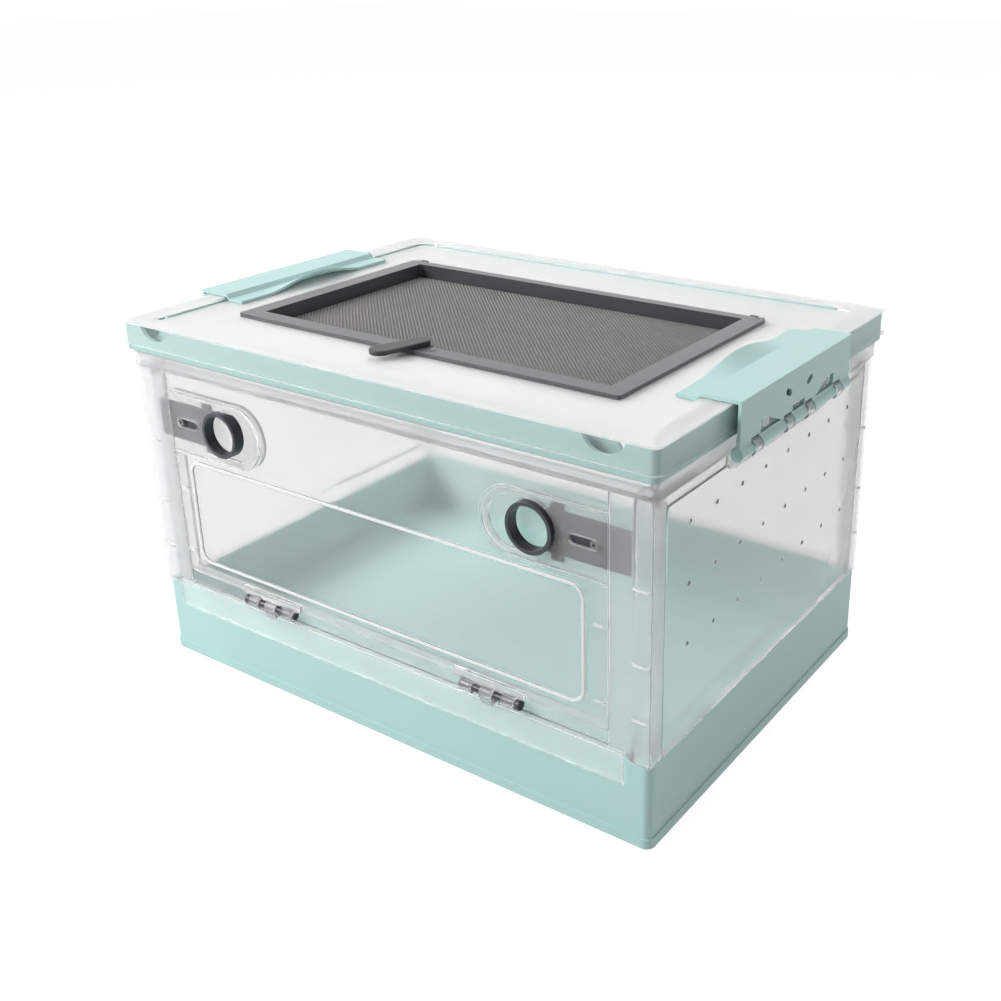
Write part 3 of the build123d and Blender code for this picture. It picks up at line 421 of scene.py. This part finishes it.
def half_round(name, lines, wall_y, out, width, height):
    """Half-round strips on an upright wall; each line is (points as x and z, is it closed)."""
    shape = bmesh.new()
    arc = [math.pi * k / ARC_STEPS for k in range(ARC_STEPS + 1)]
    profile = [(math.cos(a) * width / 2, math.sin(a) * height) for a in arc]
    for points, closed in lines:
        sections = []
        for i, (x, z) in enumerate(points):
            last = len(points) - 1
            before = points[i - 1] if closed or i > 0 else points[0]
            after = points[(i + 1) % len(points)] if closed or i < last else points[last]
            way = Vector((after[0] - before[0], after[1] - before[1])).normalized()
            size = 1.0 if closed or 0 < i < last else TIP_SIZE
            sections.append([shape.verts.new((x + way.y * u * size, wall_y + out * v * size,
                                              z - way.x * u * size)) for u, v in profile])
        pairs = list(zip(sections, sections[1:])) + ([(sections[-1], sections[0])] if closed else [])
        for first, second in pairs:
            for k in range(ARC_STEPS + 1):
                m = (k + 1) % (ARC_STEPS + 1)
                shape.faces.new((first[k], first[m], second[m], second[k]))
        if not closed:
            shape.faces.new(sections[0])
            shape.faces.new(sections[-1])
    bmesh.ops.recalc_face_normals(shape, faces=shape.faces)
    mesh = bpy.data.meshes.new(name)
    shape.to_mesh(mesh)
    shape.free()
    for face in mesh.polygons:
        face.use_smooth = True
    # The strips wear the pale edge plastic: a painted highlight.
    mesh.materials.append(clear_edge_painted_highlight)
    piece = bpy.data.objects.new(name, mesh)
    bpy.context.scene.collection.objects.link(piece)
    return piece


def round_frame(half_width, bottom, top, radius):
    """Points of a frame with rounded corners."""
    corners = ((half_width, top, 0), (-half_width, top, 90),
               (-half_width, bottom, 180), (half_width, bottom, 270))
    points = []
    for x, z, start in corners:
        middle = (x - math.copysign(radius, x), z + (radius if z == bottom else -radius))
        for step in range(CORNER_STEPS + 1):
            angle = math.radians(start + 90 * step / CORNER_STEPS)
            points.append((middle[0] + radius * math.cos(angle), middle[1] + radius * math.sin(angle)))
    return points


def tick(x0, x1, z):
    """A short level line that tapers at its ends."""
    tip = (x1 - x0) * TIP_SHARE
    return ([(x0, z), (x0 + tip, z), (x1 - tip, z), (x1, z)], False)


# %% The door's bead and all the ridges
BEAD_FACE = 0.1438
BEAD_WIDTH, BEAD_HEIGHT = 0.0024, 0.0005
BEAD_HALF_LENGTH, BEAD_BOTTOM, BEAD_TOP, BEAD_CORNER = 0.1598, 0.0822, 0.1568, 0.0088
RIDGE_FACE = 0.1436
RIDGE_WIDTH, RIDGE_HEIGHT = 0.0013, 0.0004
DOOR_RIDGES = ((0.1664, 0.1744), (0.0876, 0.1356))
POST_RIDGES = ((0.1913, 0.2014), (0.0836, 0.1186, 0.1646))


def ticks(reach, heights):
    """Level lines at both ends of the house, each from reach[0] to reach[1] off its middle."""
    return [tick(end * reach[0], end * reach[1], z) for end in (-1, 1) for z in heights]


bead_line = round_frame(BEAD_HALF_LENGTH, BEAD_BOTTOM, BEAD_TOP, BEAD_CORNER)
door_bead = half_round("door_bead", [(bead_line, True)], -BEAD_FACE, -1, BEAD_WIDTH, BEAD_HEIGHT)
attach(door_bead, "front_door")
door_ticks = ticks(*DOOR_RIDGES)
door_ridges = half_round("door_ridges", door_ticks, -RIDGE_FACE, -1, RIDGE_WIDTH, RIDGE_HEIGHT)
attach(door_ridges, "front_door")
post_ticks = ticks(*POST_RIDGES)
for name, side, slot in (("front_post_ridges", -1, "front_frame"),
                         ("back_post_ridges", 1, "back_wall")):
    ridges = half_round(name, post_ticks, side * RIDGE_FACE, side, RIDGE_WIDTH, RIDGE_HEIGHT)
    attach(ridges, "box")
print("strips: 1 bead,", len(door_ticks), "door ridges and", 2 * len(post_ticks), "post ridges")

# %% [markdown]
# ## Floor and light
#
# The house stands on a plain pale floor under soft studio light. The main light is a large soft box
# above the left of the front, so the right side of the tray falls into shade, as it does on the
# real one, and a weaker one above the back evens out the lid. In a studio the white paper is lit on
# its own, and here the floor and the world do that: they are white where the eye or a clear wall
# sees them, and dimmer once the light has bounced off something matt.

# %% The floor
FLOOR_REACH = 8.0
FLOOR_DROP = 0.0002
FLOOR_GREY = 0.42
FLOOR_BRIGHT, FLOOR_DIM = 0.84, 0.02


def shaded_strength(tree, bright, dim):
    """A strength that is bright until the light has bounced off a matt face, and dim after that."""
    path = tree.nodes.new("ShaderNodeLightPath")
    bounced = maths(tree, "GREATER_THAN", path.outputs["Diffuse Depth"], 0.5)
    return maths(tree, "SUBTRACT", bright, maths(tree, "MULTIPLY", bounced, bright - dim))


def add_floor():
    """A pale floor far wider than the house."""
    mesh = bpy.data.meshes.new("floor")
    corners = [(x * FLOOR_REACH, y * FLOOR_REACH, 0) for x, y in ((-1, -1), (1, -1), (1, 1), (-1, 1))]
    mesh.from_pydata(corners, [], [(0, 1, 2, 3)])
    floor = bpy.data.objects.new("floor", mesh)
    bpy.context.scene.collection.objects.link(floor)
    floor.location.z = -FLOOR_DROP
    paint = bpy.data.materials.new("pale floor")
    paint.use_nodes = True
    tree = paint.node_tree
    shader = tree.nodes["Principled BSDF"]
    shader.inputs["Base Color"].default_value = (FLOOR_GREY, FLOOR_GREY, FLOOR_GREY, 1)
    shader.inputs["Roughness"].default_value = 0.8
    shader.inputs["Specular IOR Level"].default_value = 0.0
    shader.inputs["Emission Color"].default_value = (1, 1, 1, 1)
    glow = shaded_strength(tree, FLOOR_BRIGHT, FLOOR_DIM)
    tree.links.new(glow, shader.inputs["Emission Strength"])
    mesh.materials.append(paint)


add_floor()
print("floor", 2 * FLOOR_REACH, "m across")

# %% The lights
HOUSE_MIDDLE = Vector((0, 0, 0.12))
KEY_PLACE, KEY_SIZE, KEY_POWER = (-1.35, -1.3, 1.35), 1.2, 49
TOP_PLACE, TOP_SIZE, TOP_POWER = (0.15, 0.7, 1.6), 1.0, 7.0
WORLD_BRIGHT, WORLD_DIM = 1.0, 0.33


def add_light(name, place, target, size, power):
    """A square soft box that points at a target."""
    data = bpy.data.lights.new(name, "AREA")
    data.shape = "SQUARE"
    data.size = size
    data.energy = power
    lamp = bpy.data.objects.new(name, data)
    bpy.context.scene.collection.objects.link(lamp)
    lamp.location = place
    lamp.rotation_mode = "QUATERNION"
    lamp.rotation_quaternion = (Vector(target) - Vector(place)).to_track_quat("-Z", "Y")


add_light("key light", KEY_PLACE, HOUSE_MIDDLE, KEY_SIZE, KEY_POWER)
add_light("top light", TOP_PLACE, HOUSE_MIDDLE, TOP_SIZE, TOP_POWER)

scene = bpy.context.scene
world = bpy.data.worlds.new("studio")
scene.world = world
world.use_nodes = True
sky = world.node_tree.nodes["Background"]
sky.inputs["Color"].default_value = (1, 1, 1, 1)
glow = shaded_strength(world.node_tree, WORLD_BRIGHT, WORLD_DIM)
world.node_tree.links.new(glow, sky.inputs["Strength"])
world.cycles.sampling_method = "NONE"
scene.view_settings.view_transform = "Standard"
scene.cycles.max_bounces = 16
scene.cycles.transmission_bounces = 14
scene.cycles.transparent_max_bounces = 24
print("lit by two soft boxes and a white world")

# %% [markdown]
# ## Camera
#
# The camera stands to the right of the front and looks down on the lid. Its place and turn were
# fitted to the lid's corners, the tray's edges and the finger rings. The picture is cut from the
# side of a wider view, so the lens is shifted a little.

# %% The camera at the photograph's angle
CAMERA_PLACE = Vector((0.4924, -0.6311, 0.4780))
CAMERA_YAW, CAMERA_PITCH, CAMERA_ROLL = -0.60367, -0.38139, -0.00908
PICTURE_PIXELS = 1001
FOCAL_PIXELS = 1238.1
CENTRE_PIXEL = (576.2, 441.3)
SENSOR_WIDTH = 36.0
NEAREST_SEEN = 0.01


def look_matrix(yaw, pitch, roll):
    """The turn of a camera that looks along yaw and pitch, rolled about its own axis."""
    ahead = Vector((math.cos(pitch) * math.sin(yaw), math.cos(pitch) * math.cos(yaw), math.sin(pitch)))
    right = Vector((math.cos(yaw), -math.sin(yaw), 0))
    up = right.cross(ahead)
    rolled_right = right * math.cos(roll) + up * math.sin(roll)
    rolled_up = -right * math.sin(roll) + up * math.cos(roll)
    return Matrix((rolled_right, rolled_up, -ahead)).transposed()


camera_data = bpy.data.cameras.new("camera")
camera_data.sensor_width = SENSOR_WIDTH
camera_data.lens = FOCAL_PIXELS / PICTURE_PIXELS * SENSOR_WIDTH
camera_data.shift_x = (PICTURE_PIXELS / 2 - CENTRE_PIXEL[0]) / PICTURE_PIXELS
camera_data.shift_y = (CENTRE_PIXEL[1] - PICTURE_PIXELS / 2) / PICTURE_PIXELS
camera_data.clip_start = NEAREST_SEEN
camera = bpy.data.objects.new("camera", camera_data)
scene.collection.objects.link(camera)
camera.matrix_world = Matrix.Translation(CAMERA_PLACE) @ look_matrix(
    CAMERA_YAW, CAMERA_PITCH, CAMERA_ROLL).to_4x4()
scene.camera = camera
print("camera lens", round(camera_data.lens, 1), "mm, shift", round(camera_data.shift_x, 3),
      round(camera_data.shift_y, 3))
